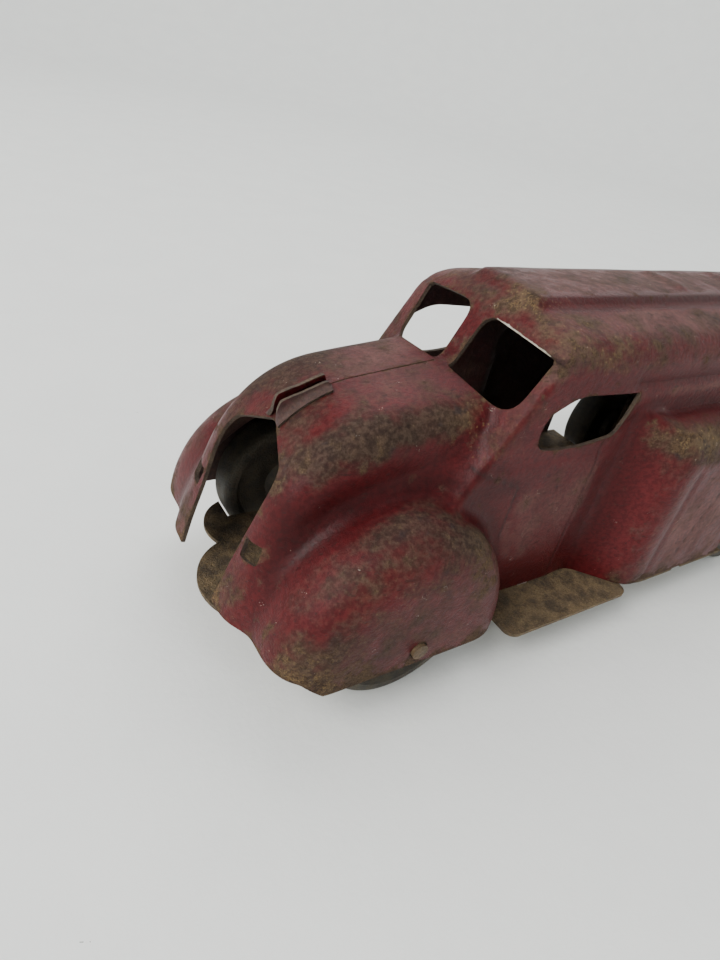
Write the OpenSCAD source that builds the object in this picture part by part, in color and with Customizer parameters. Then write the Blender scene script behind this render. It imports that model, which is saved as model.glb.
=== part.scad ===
// Pressed-steel toy tanker truck with a fixed front axle and a friction drive on the rear axle.
// Millimetres. +X is forward, +Y is the truck's left, +Z is up, and the wheels stand on z = 0.

/* [Body shell] */
// Distance between the two axles
wheelbase = 116; // [96:1:140]
// Nose ahead of the front axle
nose_reach = 29.2; // [26:0.2:36]
// Tail behind the rear axle
tail_reach = 50.5; // [42:0.5:62]
// Width across the fenders
body_width = 63.4; // [62:0.2:80]
// Height of the roof above the ground
roof_height = 69.1; // [66:0.1:86]
// Width across the cab doors
cab_width = 42.3; // [40:0.1:50]
// Width of the hood between the fenders
hood_width = 32.2; // [28:0.1:38]
// Height of the hood above the front axle
hood_height = 52.9; // [50:0.1:56]
// Width of the raised walk along the roof
walk_width = 17.6; // [12:0.1:24]
// How far the walk stands above the roof
walk_rise = 1; // [0.4:0.1:2]
// Thickness of the pressed sheet
sheet = 0.8; // [0.5:0.05:1.2]

/* [Base plate] */
// Underside of the base plate above the ground
plate_bottom = 8.9; // [7:0.1:10]
// Width across the running boards
board_width = 65.4; // [64:0.1:84]
// Length of a running board
board_length = 37; // [24:0.5:44]

/* [Wheels and axles] */
// Wheel diameter
wheel_diameter = 30.6; // [26:0.1:32]
// Wheel width
wheel_width = 7.5; // [5:0.1:9]
// Width across the outer faces of a pair of wheels
track_width = 55.4; // [52:0.1:58]
// Axle wire diameter
axle_diameter = 3.175; // [2.4:0.025:4]
// Radial clearance of a shaft in a bore that it turns in
running_gap = 0.05; // [0.02:0.01:0.1]
// Radial clearance of the front axle in the fender holes
fender_gap = 0.3; // [0.1:0.05:0.6]

/* [Friction drive] */
// Gear tooth module
tooth_module = 0.7; // [0.5:0.05:0.75]
// Teeth of the two large gears
gear_teeth = 24; // [20:1:26]
// Teeth of the two pinions
pinion_teeth = 10; // [9:1:12]
// Face width of the large gears
gear_width = 2; // [1:0.1:3]
// Face width of the pinions
pinion_width = 3.5; // [2:0.1:4]
// Diameter of the idler and flywheel shafts
shaft_diameter = 2.5; // [2:0.1:3]
// Flywheel diameter
flywheel_diameter = 19; // [14:0.5:20]
// Flywheel thickness
flywheel_width = 3.2; // [2:0.1:4]
// Distance between the inner faces of the drive frames
frame_span = 23.2; // [18:0.1:25]
// Diameter of the spacers between the drive frames
pillar_diameter = 3; // [2:0.1:4]

/* [Hidden] */

paint_red = [0.42, 0.12, 0.13];
bare_steel = [0.36, 0.28, 0.22];
wheel_grey = [0.30, 0.29, 0.26];
drive_steel = [0.45, 0.43, 0.40];
drive_brass = [0.62, 0.50, 0.28];

// Frame: the middle of the overall length is x = 0.
front_x = (wheelbase + tail_reach - nose_reach + 0.2) / 2;
rear_x = front_x - wheelbase;
wheel_radius = wheel_diameter / 2;
axle_radius = axle_diameter / 2;
shaft_radius = shaft_diameter / 2;
half_body = body_width / 2;
half_cab = cab_width / 2;
half_hood = hood_width / 2;
half_walk = walk_width / 2;
wheel_face = track_width / 2;
wheel_inside = wheel_face - wheel_width;
plate_top = plate_bottom + sheet;
seat_gap = 0.1;
rim_low = plate_top + seat_gap;
fender_rim = rim_low + 1.8;
nose_rim = rim_low + 5.8;
margin = 0.5;

// Form of the shell. u is measured forward from the front axle.
hood_slope = 0.127;
hood_fall = 0.0039;
hood_crown = 0.0047;
nose_rake = 0.30;
nose_datum = 15;
nose_blend = 13.6;
hood_blend = 5.7;
hood_end = -40;
glass_foot = -16.2;
glass_slope = 0.5955;
glass_sweep = 0.0072;
glass_datum = 54.3;
roof_crown = 0.0099;
roof_blend = 4.4;
walk_crown = 0.008;
walk_start = -24;
door_step = -52;
skirt_half = half_body - 0.5;
shoulder = 51;
shoulder_blend = 11;
shoulder_rise = 0.0009;
shoulder_datum = -70;
tail_power = 2.4;
tail_start = -wheelbase - 21;
skirt_tail = -wheelbase - 16;
arch_start = -wheelbase + 1;
arch_foot = 10;
fender_centre = 13;
fender_front = 26.2;
fender_rear = 22.6;
fender_top = 26;
fender_scale = 24;
fender_blend = 9.4;
cowl_blend = 9;
cowl_low = 42;
cowl_high = 49;
fender_power = 1.95;

function smax(a, b, k) = let (h = max(k - abs(a - b), 0)) max(a, b) + h * h / (4 * k);
function smin(a, b, k) = let (h = max(k - abs(a - b), 0)) min(a, b) - h * h / (4 * k);
function hood_line(u) = hood_height - hood_slope * u - hood_fall * pow(max(u, 0), 2);

function hood_form(u, y, z) =
    let (
        top = z - hood_line(u) + hood_crown * y * y,
        nose = (u - nose_reach + nose_rake * (z - nose_datum)) / norm([1, nose_rake]),
        sides = smax(smax(top, nose, nose_blend), y - half_hood, hood_blend)
    )
    smax(sides, hood_end - u, 2);

function rounded_plan(u, y, half, start, length) =
    (pow(pow(max(start - u, 0) / length, tail_power) + pow(y / half, tail_power), 1 / tail_power) - 1) * half;

function arch_form(u, z) =
    let (rise = roof_height - arch_foot)
    (norm([max(arch_start - u, 0) / (wheelbase + tail_reach + arch_start), max(z - arch_foot, 0) / rise]) - 1) * rise;

function cab_form(u, y, z) =
    let (
        plan = rounded_plan(u, y, half_cab, tail_start, wheelbase + tail_reach + tail_start),
        glass = (u - glass_foot + glass_slope * (z - glass_datum) + glass_sweep * y * y) / norm([1, glass_slope])
    )
    smax(smax(plan, glass, 0.8), arch_form(u, z) + roof_crown * y * y, roof_blend);

function skirt_form(u, y, z) =
    let (
        plan = rounded_plan(u, y, skirt_half, skirt_tail, wheelbase + tail_reach + skirt_tail),
        top = z - shoulder + shoulder_rise * pow(min(u - shoulder_datum, 0), 2),
        flare = (u - door_step + 0.95 * (y - half_cab)) / norm([1, 0.95])
    )
    smax(smax(plan, top, shoulder_blend), flare, 2.5);

function walk_form(u, y, z) =
    smax(
        smax(y - half_walk, arch_form(u, z) - walk_rise + walk_crown * y * y, 1.2),
        u - walk_start + 0.3 * (z - 60),
        2
    );

function fender_form(u, y, z) =
    let (
        reach = u > 0 ? fender_front : fender_rear,
        round = sqrt(pow(abs(u) / reach, fender_power) + pow(abs(z - fender_centre) / fender_top, 2)) - 1
    )
    smax(y - half_body, round * fender_scale, fender_blend);

// The hood runs into the cab in a wide sweep low down and in a crease at its top.
function cowl_soft(z) = 1 + (cowl_blend - 1) * min(max((cowl_high - z) / (cowl_high - cowl_low), 0), 1);

function form(u, side, z) =
    let (
        y = abs(side),
        upper = smin(smin(cab_form(u, y, z), skirt_form(u, y, z), 1.5), walk_form(u, y, z), 1)
    )
    smin(smin(hood_form(u, y, z), upper, cowl_soft(z)), fender_form(u, y, z), 3.5);

// A ray from o along d meets the skin that lies inset below the form.
ray_steps = 17;
ray_reach = 95;
function at(o, d, s) = form(o[0] + d[0] * s, o[1] + d[1] * s, o[2] + d[2] * s);
function meet(o, d, inset, near, far, steps) =
    steps == 0 ? (near + far) / 2
    : let (middle = (near + far) / 2)
      at(o, d, middle) + inset < 0
      ? meet(o, d, inset, middle, far, steps - 1)
      : meet(o, d, inset, near, middle, steps - 1);
function reach(o, d, inset) = meet(o, d, inset, 0, ray_reach, ray_steps);

// Lower edge of the shell: on the base plate, then over the front wheels and up to the nose.
rim_line = [
    [-60, rim_low], [-23, rim_low], [-21, fender_rim], [18.5, fender_rim],
    [22.5, nose_rim - 0.8], [30, nose_rim]
];

// Rows of the skin: a fan round the tail, straight rows, and a fan round the nose.
ray_height = plate_bottom + 0.6;
columns = 18;
tail_rows = 8;
tank_rows = 9;
cab_rows = 27;
nose_rows = 11;
tank_end = -62;
nose_pole = 4;
rows = concat(
    [for (i = [0 : tail_rows - 1]) [tail_start, 180 - 90 * i / tail_rows]],
    [for (i = [0 : tank_rows - 1]) [tail_start + (tank_end - tail_start) * i / tank_rows, 90]],
    [for (i = [0 : cab_rows]) [tank_end + (nose_pole - tank_end) * i / cab_rows, 90]],
    [for (i = [1 : nose_rows]) [nose_pole, 90 - 90 * i / nose_rows]]
);
row_count = len(rows);
row_points = 2 * columns + 1;
tail_pole_row = tail_rows;
nose_pole_row = tail_rows + tank_rows + cab_rows;

function rim_guess(u, turn, height, tries) =
    tries == 0 ? height
    : let (
        across = reach([u, 0, height], [cos(turn), sin(turn), 0], 0),
        wanted = lookup(u + across * cos(turn), rim_line)
    )
    rim_guess(u, turn, (height + wanted) / 2, tries - 1);

function row_skin(row, inset) =
    let (
        u = row[0],
        turn = row[1],
        height = rim_guess(u, turn, rim_low, 5),
        across = reach([u, 0, height], [cos(turn), sin(turn), 0], 0),
        low = atan2(height - ray_height, across),
        half = [
            for (c = [0 : columns])
                let (
                    lift = low + (90 - low) * c / columns,
                    d = [cos(lift) * cos(turn), cos(lift) * sin(turn), sin(lift)],
                    s = reach([u, 0, ray_height], d, inset)
                )
                [u + front_x + d[0] * s, c == columns ? 0 : d[1] * s, ray_height + d[2] * s]
        ]
    )
    concat(half, [for (c = [columns - 1 : -1 : 0]) [half[c][0], -half[c][1], half[c][2]]]);

function folded(r, c) = (r == 0 || r == row_count - 1) && c > columns ? 2 * columns - c : c;
function joined(r, c) =
    c != columns ? r
    : r < tail_pole_row ? tail_pole_row
    : r > nose_pole_row ? nose_pole_row
    : r;
function point_at(layer, r, c) = (layer * row_count + joined(r, c)) * row_points + folded(r, c);
function distinct(faces) = [for (f = faces) if (f[0] != f[1] && f[1] != f[2] && f[2] != f[0]) f];
function quad(a, b, c, d) = [[a, c, b], [a, d, c]];

module skin() {
    outside = [for (row = rows) each row_skin(row, 0)];
    inside = [for (row = rows) each row_skin(row, sheet)];
    faces = [
        for (r = [0 : row_count - 2])
            for (c = [0 : 2 * columns - 1])
                each concat(
                    quad(point_at(0, r, c), point_at(0, r, c + 1), point_at(0, r + 1, c + 1), point_at(0, r + 1, c)),
                    quad(point_at(1, r, c), point_at(1, r + 1, c), point_at(1, r + 1, c + 1), point_at(1, r, c + 1))
                )
    ];
    rims = [
        for (r = [0 : row_count - 2])
            each concat(
                quad(point_at(0, r, 0), point_at(0, r + 1, 0), point_at(1, r + 1, 0), point_at(1, r, 0)),
                quad(
                    point_at(0, r, 2 * columns), point_at(1, r, 2 * columns),
                    point_at(1, r + 1, 2 * columns), point_at(0, r + 1, 2 * columns)
                )
            )
    ];
    polyhedron(points = concat(outside, inside), faces = distinct(concat(faces, rims)), convexity = 10);
}

// Openings of the shell.
grille_top = 45.6;
grille_outline = [
    [1, grille_top], [5, 43.8], [8.9, 41.9], [10.1, 39.1], [10, 34.5], [9, 27.7], [8.6, 21.1], [8, 15.6], [8, 0]
];
grille_depth = 22;
tab_slot = [12, 4.3, 5.4];
tab_slot_centre = [24, 12.2, 28.7];
window_outline = [
    [-25.5, 46.6], [-27.9, 53.2], [-31.7, 56.2], [-49, 55.5], [-48.2, 50.3], [-46.7, 46.9], [-29.2, 46.1]
];
// Corners of a windshield opening up its own slope: across, up the slope, corner radius.
pane_corners = [[2.3, 0.2, 0.3], [18.2, -0.8, 4], [17.9, 9.4, 0.4], [3.4, 12.3, 1.8]];
pane_depth = 12;
arch_radius = wheel_radius + 3;
hatch_places = [-74, -98];
hatch_size = [4.4, 13, 1.9];
fin_crest = [[7.6, 52], [8.8, 54.1], [11, 53.6], [14.6, 51.2], [16.6, 48.6]];
fin_ends = [7.4, 17];
fin_step = 1.2;
fin_seam = 0.3;
tab_places = [-38, -82, -146];
tab_length = 3.2;
tab_rise = 2.4;

module mirrored_y() {
    children();
    mirror([0, 1, 0]) children();
}

module openings() {
    translate([front_x + nose_reach - grille_depth + 10, 0, 0])
        rotate([90, 0, 90])
            linear_extrude(height = grille_depth)
                polygon(concat(grille_outline, [for (i = [len(grille_outline) - 1 : -1 : 0])
                    [-grille_outline[i][0], grille_outline[i][1]]]));
    mirrored_y() {
        translate([front_x + tab_slot_centre[0], tab_slot_centre[1], tab_slot_centre[2]])
            rotate([6, 0, 0])
                cube(tab_slot, center = true);
        translate([front_x, 0, 0])
            rotate([90, 0, 0])
                translate([0, 0, -body_width])
                    linear_extrude(height = body_width - half_cab + 6)
                        polygon(window_outline);
        translate([front_x + glass_foot, 0, glass_datum])
            rotate([0, -atan(glass_slope), 0])
                rotate([90, 0, 90])
                    translate([0, 0, -pane_depth * 0.6])
                        linear_extrude(height = pane_depth)
                            hull()
                                for (corner = pane_corners)
                                    translate([
                                        corner[0] + (corner[0] > 10 ? -1 : 1) * corner[2],
                                        corner[1] + (corner[1] > 5 ? -1 : 1) * corner[2]
                                    ])
                                        circle(r = corner[2], $fn = 24);
        translate([rear_x, half_body, wheel_radius])
            rotate([90, 0, 0])
                cylinder(h = body_width / 3, r = arch_radius, center = true, $fn = 48);
        translate([rear_x - arch_radius, half_body - body_width / 6, 0])
            cube([2 * arch_radius, body_width / 3, wheel_radius]);
    }
}

function wall_at(u, height) = reach([u, 0, height], [0, 1, 0], 0);
function top_at(u) = ray_height + reach([u, 0, ray_height], [0, 0, 1], 0);
fin_foot = [for (u = [fin_ends[1] : -fin_step : fin_ends[0]]) [u, top_at(u) - sheet / 2]];

module raised_details() {
    mirrored_y()
        translate([front_x, fin_seam / 2 + sheet, 0])
            rotate([90, 0, 0])
                linear_extrude(height = sheet)
                    polygon(concat(fin_crest, fin_foot));
    for (place = hatch_places)
        translate([front_x + place, 0, roof_height + hatch_size[2] / 2 - 0.3])
            cube(hatch_size, center = true);
}

// Inner face of a tab, half sunk in the wall above it.
function tab_face(place) = wall_at(place, rim_low + 0.5) - 1.5 * sheet;

module body_tabs() {
    mirrored_y()
        for (place = tab_places)
            translate([front_x + place - tab_length / 2, tab_face(place), plate_bottom])
                cube([tab_length, sheet, sheet + tab_rise]);
}

module body_shell() {
    color(paint_red)
        resize([0, 0, 0])
            difference() {
                union() {
                    difference() {
                        union() {
                            skin();
                            raised_details();
                        }
                        openings();
                    }
                    body_tabs();
                }
                translate([front_x, 0, wheel_radius])
                    rotate([90, 0, 0])
                        cylinder(h = body_width + 2, r = axle_radius + fender_gap, center = true, $fn = 48);
            }
}

// Base plate.
front_lobe_radius = 13;
front_lobe_x = 14.8;
side_lobe_radius = 9.3;
side_lobe = [11.4, 16.5];
board_front = -24;
board_corner = 2.5;
plate_half = wheel_inside - 0.6;
plate_rear_half = skirt_half - 0.2;
wheel_room = 0.8;
gear_window = [17, 11];
slot_room = 0.35;

module rounded_box(low_x, high_x, half, radius) {
    for (sx = [low_x + radius, high_x - radius])
        for (sy = [-half + radius, half - radius])
            translate([sx, sy])
                circle(r = radius, $fn = 48);
    translate([low_x, -half + radius])
        square([high_x - low_x, 2 * half - 2 * radius]);
    translate([low_x + radius, -half])
        square([high_x - low_x - 2 * radius, 2 * half]);
}

module wheel_gap(place) {
    chord = sqrt(pow(wheel_radius, 2) - pow(wheel_radius - plate_bottom, 2)) + wheel_room;
    for (s = [-1, 1])
        translate([place - chord, s > 0 ? plate_half : -plate_half - body_width])
            square([2 * chord, body_width]);
}

module plate_outline() {
    difference() {
        union() {
            translate([front_lobe_x, 0])
                circle(r = front_lobe_radius, $fn = 96);
            for (s = [-1, 1])
                translate([side_lobe[0], s * side_lobe[1]])
                    circle(r = side_lobe_radius, $fn = 96);
            rounded_box(-wheelbase - tail_reach + 22, front_lobe_x + 2, plate_half, 3);
            rounded_box(board_front - board_length, board_front, board_width / 2, board_corner);
            rounded_box(-wheelbase - tail_reach + 16, board_front - board_length + 6, plate_rear_half, 14);
        }
        wheel_gap(0);
        wheel_gap(-wheelbase);
        translate([-wheelbase - gear_window[0] / 2, -gear_window[1] / 2])
            square(gear_window);
        for (s = [-1, 1])
            for (place = tab_places)
                translate([place, s * (tab_face(place) + sheet / 2)])
                    square([tab_length + 2 * slot_room, sheet + 2 * slot_room], center = true);
        for (p = rivet_places)
            translate([p[0] - front_x, p[1]])
                circle(r = rivet_radius, $fn = 32);
    }
}

module base_plate() {
    color(bare_steel)
        translate([front_x, 0, plate_bottom])
            linear_extrude(height = sheet)
                plate_outline();
}

// Wheels and axles.
axle_overhang = 0.7;
hub_radius = 4.4;
web_inner = 5.6;
web_outer = 12.2;
web_depth = 1.3;
tread_round = 1.6;
round_steps = 5;

function corner_arc(centre, radius, from, to) = [
    for (i = [0 : round_steps])
        centre + radius * [cos(from + (to - from) * i / round_steps), sin(from + (to - from) * i / round_steps)]
];

function wheel_outline(bore) =
    let (half = wheel_width / 2, rim = wheel_radius - tread_round, band = wheel_radius - wheel_radius * 0.16)
    concat(
        [[bore, -half], [hub_radius, -half], [web_inner, -half + web_depth], [band - 1, -half + web_depth], [band, -half]],
        corner_arc([rim, -half + tread_round], tread_round, -90, 0),
        corner_arc([rim, half - tread_round], tread_round, 0, 90),
        [[band, half], [band - 1, half - web_depth], [web_inner, half - web_depth], [hub_radius, half], [bore, half]]
    );

module wheel(place, side, bore) {
    color(wheel_grey)
        translate([place, side * (wheel_face - wheel_width / 2), wheel_radius])
            rotate([90, 0, 0])
                rotate_extrude($fn = 96)
                    polygon(wheel_outline(bore));
}

module axle_rod(place, length) {
    color(bare_steel)
        translate([place, 0, wheel_radius])
            rotate([90, 0, 0])
                cylinder(h = length, r = axle_radius, center = true, $fn = 48);
}

module front_axle() { axle_rod(front_x, body_width + 2 * axle_overhang); }
module rear_axle() { axle_rod(rear_x, track_width + 2 * axle_overhang); }
module front_wheel_left() { wheel(front_x, 1, axle_radius + running_gap); }
module front_wheel_right() { wheel(front_x, -1, axle_radius + running_gap); }
module rear_wheel_left() { wheel(rear_x, 1, axle_radius); }
module rear_wheel_right() { wheel(rear_x, -1, axle_radius); }

// Gears. The line of centres of each pair carries a tooth of the gear and a space of the pinion.
pressure_angle = 27;
addendum = 0.8;
dedendum = 1.15;
backlash = 0.14;
flank_steps = 4;
first_lean = 120;
second_lean = 75;
pair_distance = tooth_module * (gear_teeth + pinion_teeth) / 2 + 0.04;
idler_x = rear_x + pair_distance * cos(first_lean);
idler_z = wheel_radius + pair_distance * sin(first_lean);
flywheel_x = idler_x + pair_distance * cos(second_lean);
flywheel_z = idler_z + pair_distance * sin(second_lean);
gear_lane = 2;
degree = 180 / PI;

function roll_angle(r, base) = r <= base ? 0 : tan(acos(base / r)) * degree - acos(base / r);
function half_tooth(r, teeth) =
    let (pitch = tooth_module * teeth / 2, base = pitch * cos(pressure_angle))
    90 / teeth - backlash / 2 / pitch * degree + roll_angle(pitch, base) - roll_angle(r, base);

function gear_outline(teeth, turn) =
    let (
        pitch = tooth_module * teeth / 2,
        root = pitch - dedendum * tooth_module,
        tip = pitch + addendum * tooth_module,
        start = max(root + 0.05, pitch * cos(pressure_angle)),
        radii = concat([root], [for (i = [0 : flank_steps]) start + (tip - start) * i / flank_steps])
    )
    [
        for (t = [0 : teeth - 1])
            for (s = [-1, 1])
                for (i = [0 : len(radii) - 1])
                    let (
                        r = s < 0 ? radii[i] : radii[len(radii) - 1 - i],
                        a = turn + 360 * t / teeth + s * half_tooth(r, teeth)
                    )
                    [r * cos(a), r * sin(a)]
    ];

module gear(place, height, middle, width, teeth, turn, bore) {
    translate([place, middle, height])
        rotate([90, 0, 0])
            linear_extrude(height = width, center = true)
                difference() {
                    polygon(gear_outline(teeth, turn));
                    circle(r = bore, $fn = 48);
                }
}

module shaft(place, height, length, radius) {
    translate([place, 0, height])
        rotate([90, 0, 0])
            cylinder(h = length, r = radius, center = true, $fn = 48);
}

module axle_gear() {
    color(drive_brass)
        gear(rear_x, wheel_radius, -gear_lane, gear_width, gear_teeth, first_lean, axle_radius);
}

module idler_pinion() {
    color(drive_brass)
        gear(idler_x, idler_z, -gear_lane, pinion_width, pinion_teeth,
            first_lean + 180 + 180 / pinion_teeth, shaft_radius);
}

module idler_gear() {
    color(drive_brass)
        gear(idler_x, idler_z, gear_lane, gear_width, gear_teeth, second_lean, shaft_radius);
}

module flywheel_pinion() {
    color(drive_brass)
        gear(flywheel_x, flywheel_z, gear_lane, pinion_width, pinion_teeth,
            second_lean + 180 + 180 / pinion_teeth, shaft_radius);
}

flywheel_gap = 0.9;
flywheel_middle = frame_span / 2 + sheet + flywheel_gap + flywheel_width / 2;
shaft_overhang = 0.6;

module idler_shaft() {
    color(drive_steel)
        shaft(idler_x, idler_z, frame_span + 2 * sheet + 2 * shaft_overhang, shaft_radius);
}

module flywheel_shaft() {
    color(drive_steel)
        shaft(flywheel_x, flywheel_z, 2 * flywheel_middle + flywheel_width + 2 * shaft_overhang, shaft_radius);
}

module flywheel(side) {
    color(drive_steel)
        translate([flywheel_x, side * flywheel_middle, flywheel_z])
            rotate([90, 0, 0])
                difference() {
                    cylinder(h = flywheel_width, d = flywheel_diameter, center = true, $fn = 96);
                    cylinder(h = flywheel_width + 1, r = shaft_radius, center = true, $fn = 48);
                }
}

module flywheel_left() { flywheel(1); }
module flywheel_right() { flywheel(-1); }

// Frames of the drive, with their spacers and rivets.
frame_front = rear_x + 13.4;
frame_back = rear_x - 18.4;
frame_shoulder = 31;
frame_top = flywheel_z + 7.4;
foot_reach = 4.8;
foot_length = 22;
pillar_inset = 2.2;
pillar_low = plate_top + 3.2;
pillar_neck = 0.9;
rivet_radius = 1;
rivet_head = 1.7;
rivet_rise = 0.6;
pillar_places = [
    [frame_front - pillar_inset, pillar_low], [frame_back + pillar_inset, pillar_low],
    [flywheel_x + 8.2, frame_top - pillar_inset], [flywheel_x - 9, frame_top - pillar_inset]
];
rivet_places = [
    for (sx = [-1, 1])
        for (sy = [-1, 1])
            [(frame_front + frame_back) / 2 + sx * foot_length * 0.34, sy * (frame_span / 2 + sheet + foot_reach / 2)]
];

module frame_plate(side) {
    color(bare_steel)
        difference() {
            union() {
                translate([0, side * (frame_span / 2 + sheet / 2), 0])
                    rotate([90, 0, 0])
                        linear_extrude(height = sheet, center = true)
                            polygon([
                                [frame_front, plate_top], [frame_front, frame_shoulder],
                                [flywheel_x + 10.4, frame_top - 4], [flywheel_x + 8, frame_top],
                                [flywheel_x - 9, frame_top], [flywheel_x - 11.4, frame_top - 4],
                                [frame_back, frame_shoulder], [frame_back, plate_top]
                            ]);
                translate([
                    (frame_front + frame_back - foot_length) / 2,
                    side > 0 ? frame_span / 2 : -frame_span / 2 - sheet - foot_reach,
                    plate_top
                ])
                    cube([foot_length, sheet + foot_reach, sheet]);
            }
            shaft(rear_x, wheel_radius, frame_span + 4, axle_radius + running_gap);
            shaft(idler_x, idler_z, frame_span + 4, shaft_radius + running_gap);
            shaft(flywheel_x, flywheel_z, frame_span + 4, shaft_radius + running_gap);
            for (p = pillar_places)
                shaft(p[0], p[1], frame_span + 4, pillar_neck);
            for (p = rivet_places)
                translate([p[0], p[1], plate_top - 1])
                    cylinder(h = 4, r = rivet_radius, $fn = 32);
        }
}

module drive_frame_left() { frame_plate(1); }
module drive_frame_right() { frame_plate(-1); }

module frame_pillars() {
    color(drive_steel)
        for (p = pillar_places) {
            shaft(p[0], p[1], frame_span, pillar_diameter / 2);
            shaft(p[0], p[1], frame_span + 2 * sheet + 0.5, pillar_neck);
        }
}

module frame_rivets() {
    color(bare_steel)
        for (p = rivet_places)
            translate([p[0], p[1], 0]) {
                translate([0, 0, plate_bottom])
                    cylinder(h = 2 * sheet + rivet_rise, r = rivet_radius, $fn = 32);
                translate([0, 0, plate_top + sheet])
                    cylinder(h = rivet_rise, r = rivet_head, $fn = 32);
            }
}

body_shell();
base_plate();
front_axle();
front_wheel_left();
front_wheel_right();
rear_axle();
rear_wheel_left();
rear_wheel_right();
axle_gear();
drive_frame_left();
drive_frame_right();
frame_pillars();
frame_rivets();
idler_shaft();
idler_gear();
idler_pinion();
flywheel_shaft();
flywheel_pinion();
flywheel_left();
flywheel_right();
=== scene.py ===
# Worn pressed-steel toy tanker truck: the looks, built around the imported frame.
import math
import bpy
import numpy as np
from mathutils import Matrix, Vector


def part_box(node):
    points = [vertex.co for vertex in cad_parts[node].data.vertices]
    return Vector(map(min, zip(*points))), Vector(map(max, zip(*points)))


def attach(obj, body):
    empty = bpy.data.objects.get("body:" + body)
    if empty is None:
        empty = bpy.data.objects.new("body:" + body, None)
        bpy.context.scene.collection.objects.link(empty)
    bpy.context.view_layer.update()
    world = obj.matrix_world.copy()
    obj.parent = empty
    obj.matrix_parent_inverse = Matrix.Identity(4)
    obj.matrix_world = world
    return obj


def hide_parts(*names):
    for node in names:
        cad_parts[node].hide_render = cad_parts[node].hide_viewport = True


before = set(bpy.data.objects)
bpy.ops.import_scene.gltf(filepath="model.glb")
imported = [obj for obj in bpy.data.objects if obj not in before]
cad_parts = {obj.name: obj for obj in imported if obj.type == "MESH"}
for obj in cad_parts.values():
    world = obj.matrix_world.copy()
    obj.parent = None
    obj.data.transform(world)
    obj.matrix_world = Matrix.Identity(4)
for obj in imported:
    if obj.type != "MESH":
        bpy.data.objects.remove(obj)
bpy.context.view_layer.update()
print("frame loaded:", len(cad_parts), "nodes")

mm = 0.001


def middleOf(node):
    low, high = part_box(node)
    return (low + high) / 2


frontX = middleOf("front_axle").x / mm
rearX = middleOf("rear_axle").x / mm
axleZ = middleOf("front_axle").z / mm
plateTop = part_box("base_plate")[1].z / mm
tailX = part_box("body_shell")[0].x / mm
wheelBase = frontX - rearX
tailBulge = 0.88  # how far the tail sheet stands past its own curve
tailReach = rearX - tailX - tailBulge


# Body form, all in millimetres
bodyForm = {
    "noseReach": 29.2, "noseRake": 0.30, "noseDatum": 15.0, "noseBlend": 13.6,
    "hoodHeight": 52.9, "hoodSlope": 0.127, "hoodFall": 0.0039, "hoodCrown": 0.0047,
    "hoodHalf": 16.1, "hoodBlend": 5.7, "hoodEnd": -40.0,
    "cabHalf": 21.15, "glassFoot": -16.2, "glassSlope": 0.5955, "glassSweep": 0.0072, "glassDatum": 54.3,
    "roofHeight": 69.1, "archFoot": 10.0, "roofCrown": 0.0099, "roofBlend": 4.4,
    "walkHalf": 8.8, "walkRise": 1.0, "walkCrown": 0.008, "walkStart": -24.0,
    "skirtHalf": 31.2, "shoulder": 51.0, "shoulderBlend": 11.0, "doorStep": -52.0,
    "fenderHalf": 31.7, "fenderFront": 26.2, "fenderRear": 22.6, "fenderTop": 26.0, "fenderCentre": 13.0,
    "fenderBlend": 9.4, "tailPower": 2.4, "cowlBlend": 9.0, "cowlLow": 42.0, "cowlHigh": 49.0,
    "hoodEndBlend": 2.0, "cabTail": 21, "skirtTail": 16, "glassBlend": 0.8, "flareSlope": 0.95, "flareBlend": 2.5,
    "shoulderDroop": 0.0009, "droopStart": -70, "walkEndBlend": 2.0, "walkSideBlend": 1.2, "walkLean": 0.3,
    "walkDatum": 60, "skirtJoin": 1.5, "walkJoin": 1.0, "fenderScale": 24.0, "fenderPower": 1.95, "fenderJoin": 3.5,
}
bodyPressings = {
    "swageHeight": 57.4, "swageDepth": 0.75, "swageWidth": 1.15, "swageStart": -43.0,
    "skirtSwageHeight": 50.2, "skirtSwageDepth": 0.55, "skirtSwageWidth": 1.0,
    "ribPlaces": (-74.0, -98.0), "ribHalf": 6.4, "ribRise": 0.62, "ribWidth": 2.0,
    "skirtLineBack": 6.0, "skirtLineDepth": 0.28, "skirtLineWidth": 0.9,
    "beltHeight": 45.4, "beltDrop": 3.4, "beltSlope": 0.06, "beltDepth": 0.3, "beltWidth": 0.8,
}


def softMax(a, b, k):
    h = np.maximum(k - np.abs(a - b), 0)
    return np.maximum(a, b) + h * h / (4 * k)


def softMin(a, b, k):
    h = np.maximum(k - np.abs(a - b), 0)
    return np.minimum(a, b) - h * h / (4 * k)


def fadeIn(x, a, b):
    t = np.clip((x - a) / (b - a), 0, 1)
    return t * t * (3 - 2 * t)


def bump(x, middle, width):
    return np.exp(-((x - middle) / width) ** 2)


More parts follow.
